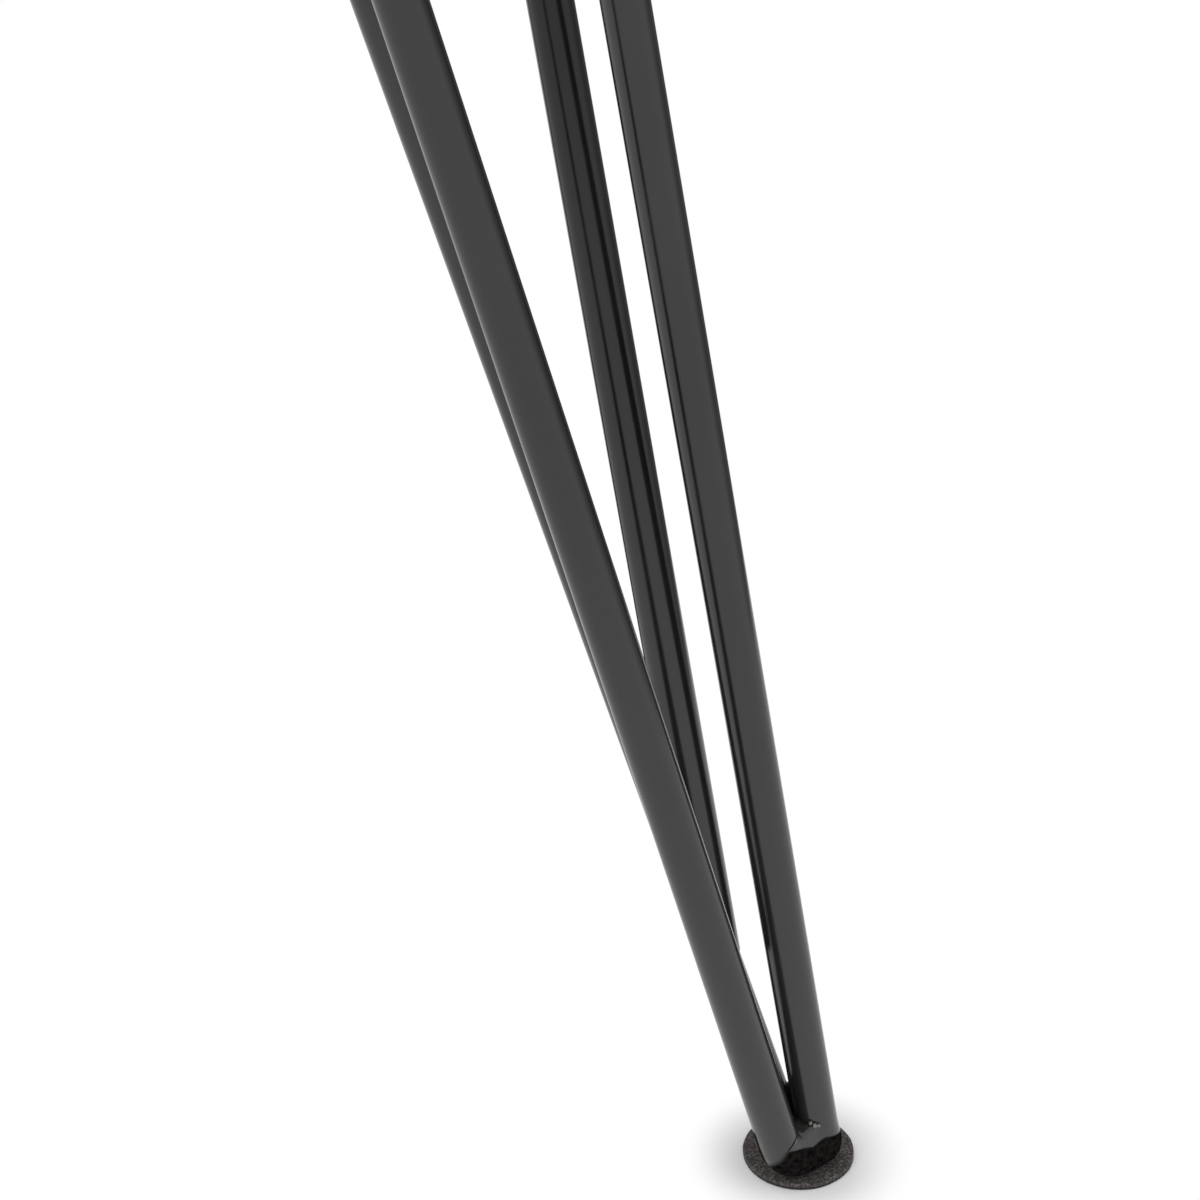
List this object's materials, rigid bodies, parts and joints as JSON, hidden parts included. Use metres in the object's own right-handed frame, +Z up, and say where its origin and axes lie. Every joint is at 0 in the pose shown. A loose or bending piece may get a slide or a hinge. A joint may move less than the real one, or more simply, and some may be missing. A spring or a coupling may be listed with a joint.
{
  "type": "hairpin table leg",
  "caption": "Black round-steel hairpin table leg: rods welded at a tight bend on a foam foot pad, spreading up to a flat plate with countersunk screw holes.",
  "frame": {"origin": "middle of the mounting plate's top face, which goes against the table top", "axes": "+Z up into the table top; X along the hairpin's plane, from its steeper leg towards its other leg; Y towards the plate edge that the foot stands out past"},
  "size_m": [0.1351, 0.1831, 0.4],
  "materials": {
    "black_powder_coat": "semi-gloss black powder coat over steel",
    "pad_foam": "matt closed-cell foam with a fine speckle"
  },
  "bodies": {
    "root": {"hairpin_rod": "black_powder_coat", "rear_rod": "black_powder_coat", "inner_rod": "black_powder_coat", "mounting_plate": "black_powder_coat", "foot_weld_near": "black_powder_coat", "foot_weld_far": "black_powder_coat", "fork_weld": "black_powder_coat", "inner_rod_weld": "black_powder_coat", "hairpin_near_weld": "black_powder_coat", "hairpin_far_weld": "black_powder_coat", "rear_rod_top_weld": "black_powder_coat", "inner_rod_top_weld": "black_powder_coat", "foot_pad": "pad_foam"}
  },
  "joints": []
}
